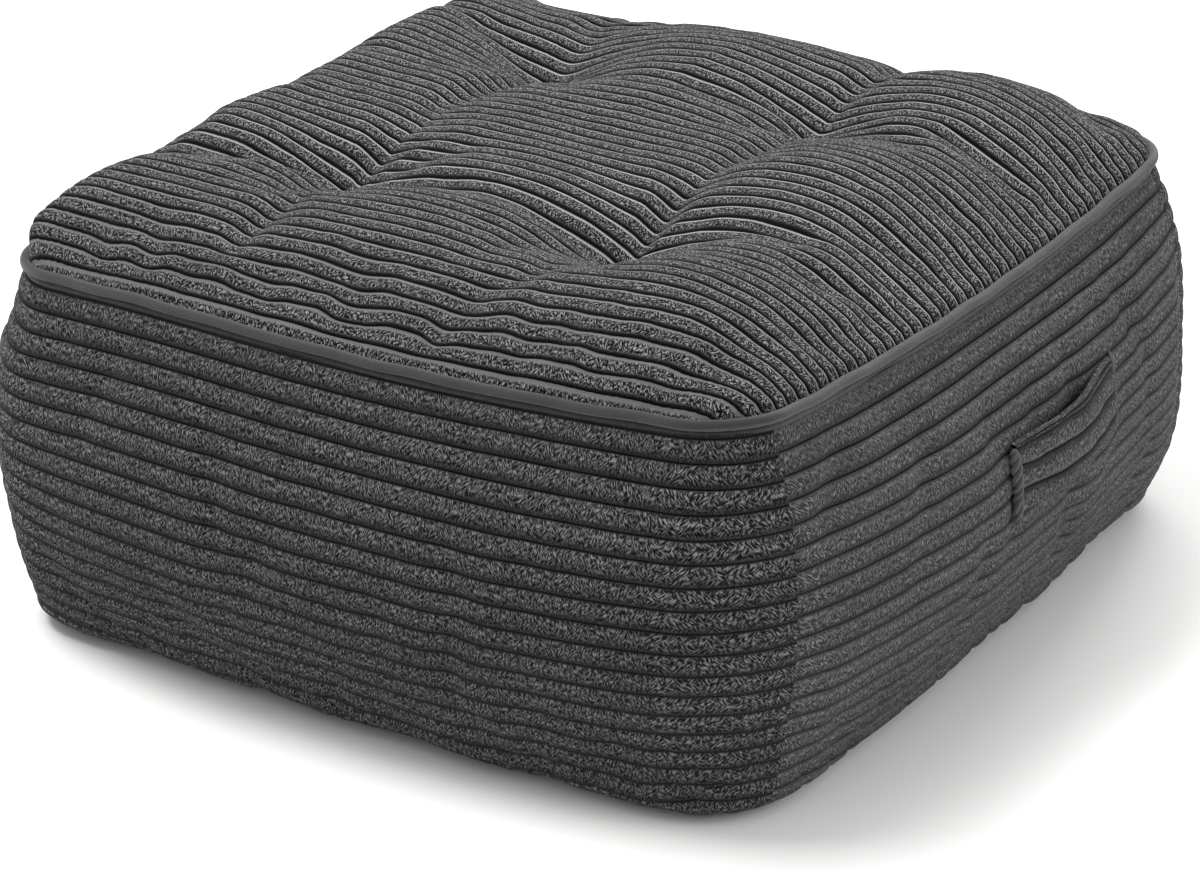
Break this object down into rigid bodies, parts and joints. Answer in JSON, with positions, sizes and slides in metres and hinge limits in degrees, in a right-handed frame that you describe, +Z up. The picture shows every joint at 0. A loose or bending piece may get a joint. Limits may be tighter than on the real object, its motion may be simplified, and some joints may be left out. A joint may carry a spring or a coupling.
{
  "type": "floor pillow",
  "caption": "Square tufted floor pillow in wide corduroy, with a crowned top, bulging sides, a piped top seam and a strap handle at the side.",
  "frame": {"origin": "middle of the flat base, on the floor", "axes": "+Z up from the floor, +X towards the side with the handle, -Y towards the long front side"},
  "size_m": [0.6191, 0.6388, 0.286],
  "materials": {
    "corduroy": "wide cut-pile corduroy, dark charcoal grey, matt",
    "cord_cloth": "smooth suede-like cloth over a cord, charcoal grey",
    "strap_cloth": "doubled wide corduroy, dark charcoal grey, matt"
  },
  "bodies": {
    "root": {"cushion": "corduroy", "piping": "cord_cloth", "handle": "strap_cloth"}
  },
  "joints": []
}
